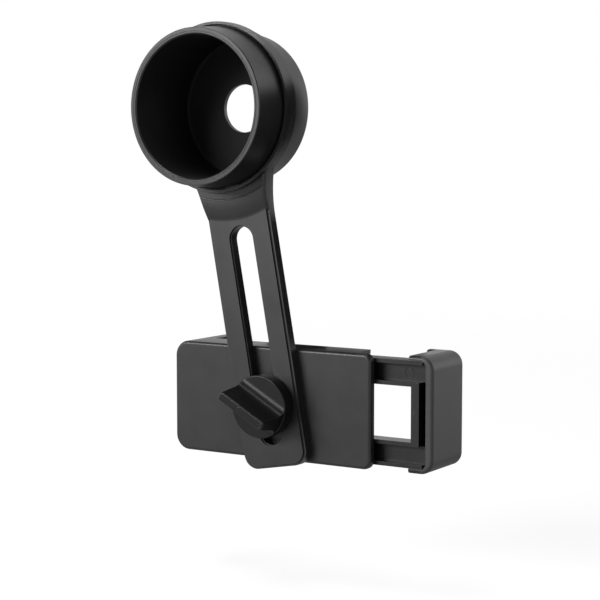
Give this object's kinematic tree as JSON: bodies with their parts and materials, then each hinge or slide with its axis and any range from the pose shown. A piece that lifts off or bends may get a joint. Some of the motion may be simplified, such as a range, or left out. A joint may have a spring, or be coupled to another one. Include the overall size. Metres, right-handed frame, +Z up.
{
  "type": "digiscoping phone adapter",
  "caption": "Eyepiece cup on a slotted arm with a sliding, turning spring clamp that a winged thumb knob locks, for holding a flat device behind an eyepiece.",
  "frame": {"origin": "centre of the eyepiece cup's open mouth, on the eyepiece axis", "axes": "+Y into the cup along the eyepiece axis, towards the held device; +Z up, away from the clamp; +X towards the sliding jaw"},
  "size_m": [0.096, 0.0407, 0.1366],
  "materials": {
    "cup": "fine moulded grain, satin",
    "arm": "fine moulded grain, satin",
    "housing": "fine moulded grain, satin",
    "jaw": "fine moulded grain, satin",
    "knob": "fine moulded grain, satin",
    "cover": "fine moulded grain, satin",
    "bush": "satin",
    "rubber": "matt",
    "zinc_steel": "zinc plated",
    "spring_steel": "drawn wire"
  },
  "bodies": {
    "arm": {"arm": "arm", "eyepiece_cup": "cup"},
    "slider": {"slot_bush": "bush"},
    "clamp": {"clamp_housing": "housing", "back_cover": "cover", "back_pad": "rubber", "fixed_jaw_pad": "rubber", "captive_nut": "zinc_steel", "cover_screw_1": "zinc_steel", "cover_screw_2": "zinc_steel", "cover_screw_3": "zinc_steel", "cover_screw_4": "zinc_steel", "spring_upper": "spring_steel", "spring_lower": "spring_steel"},
    "jaw": {"sliding_jaw": "jaw", "sliding_jaw_pad": "rubber"},
    "washer": {"knob_washer": "zinc_steel"},
    "knob": {"knob": "knob", "knob_bolt": "zinc_steel"}
  },
  "joints": [
    {"name": "slot_slide", "type": "slide", "parent": "arm", "child": "slider", "axis": [-0.1788, 0, 0.9839], "range_m": [-0.008, 0.036]},
    {"name": "clamp_swing", "type": "hinge", "parent": "slider", "child": "clamp", "pos_m": [0.01643, 0.0181, -0.09042], "axis": [0, 1, 0], "range_deg": [-45, 28]},
    {"name": "jaw_slide", "type": "slide", "parent": "clamp", "child": "jaw", "axis": [1, 0, 0], "range_m": [-0.017, 0.013], "deforming": ["spring_upper", "spring_lower"]},
    {"name": "knob_travel", "type": "slide", "parent": "clamp", "child": "washer", "axis": [0, -1, 0], "range_m": [0, 0.0016]},
    {"name": "knob_turn", "type": "hinge", "parent": "washer", "child": "knob", "pos_m": [0.01643, 0.0181, -0.09042], "axis": [0, -1, 0], "range_deg": [0, 720]}
  ],
  "couplings": [
    {"joint": "knob_travel", "follows": "knob_turn", "m_per_rad": 0.000127}
  ]
}
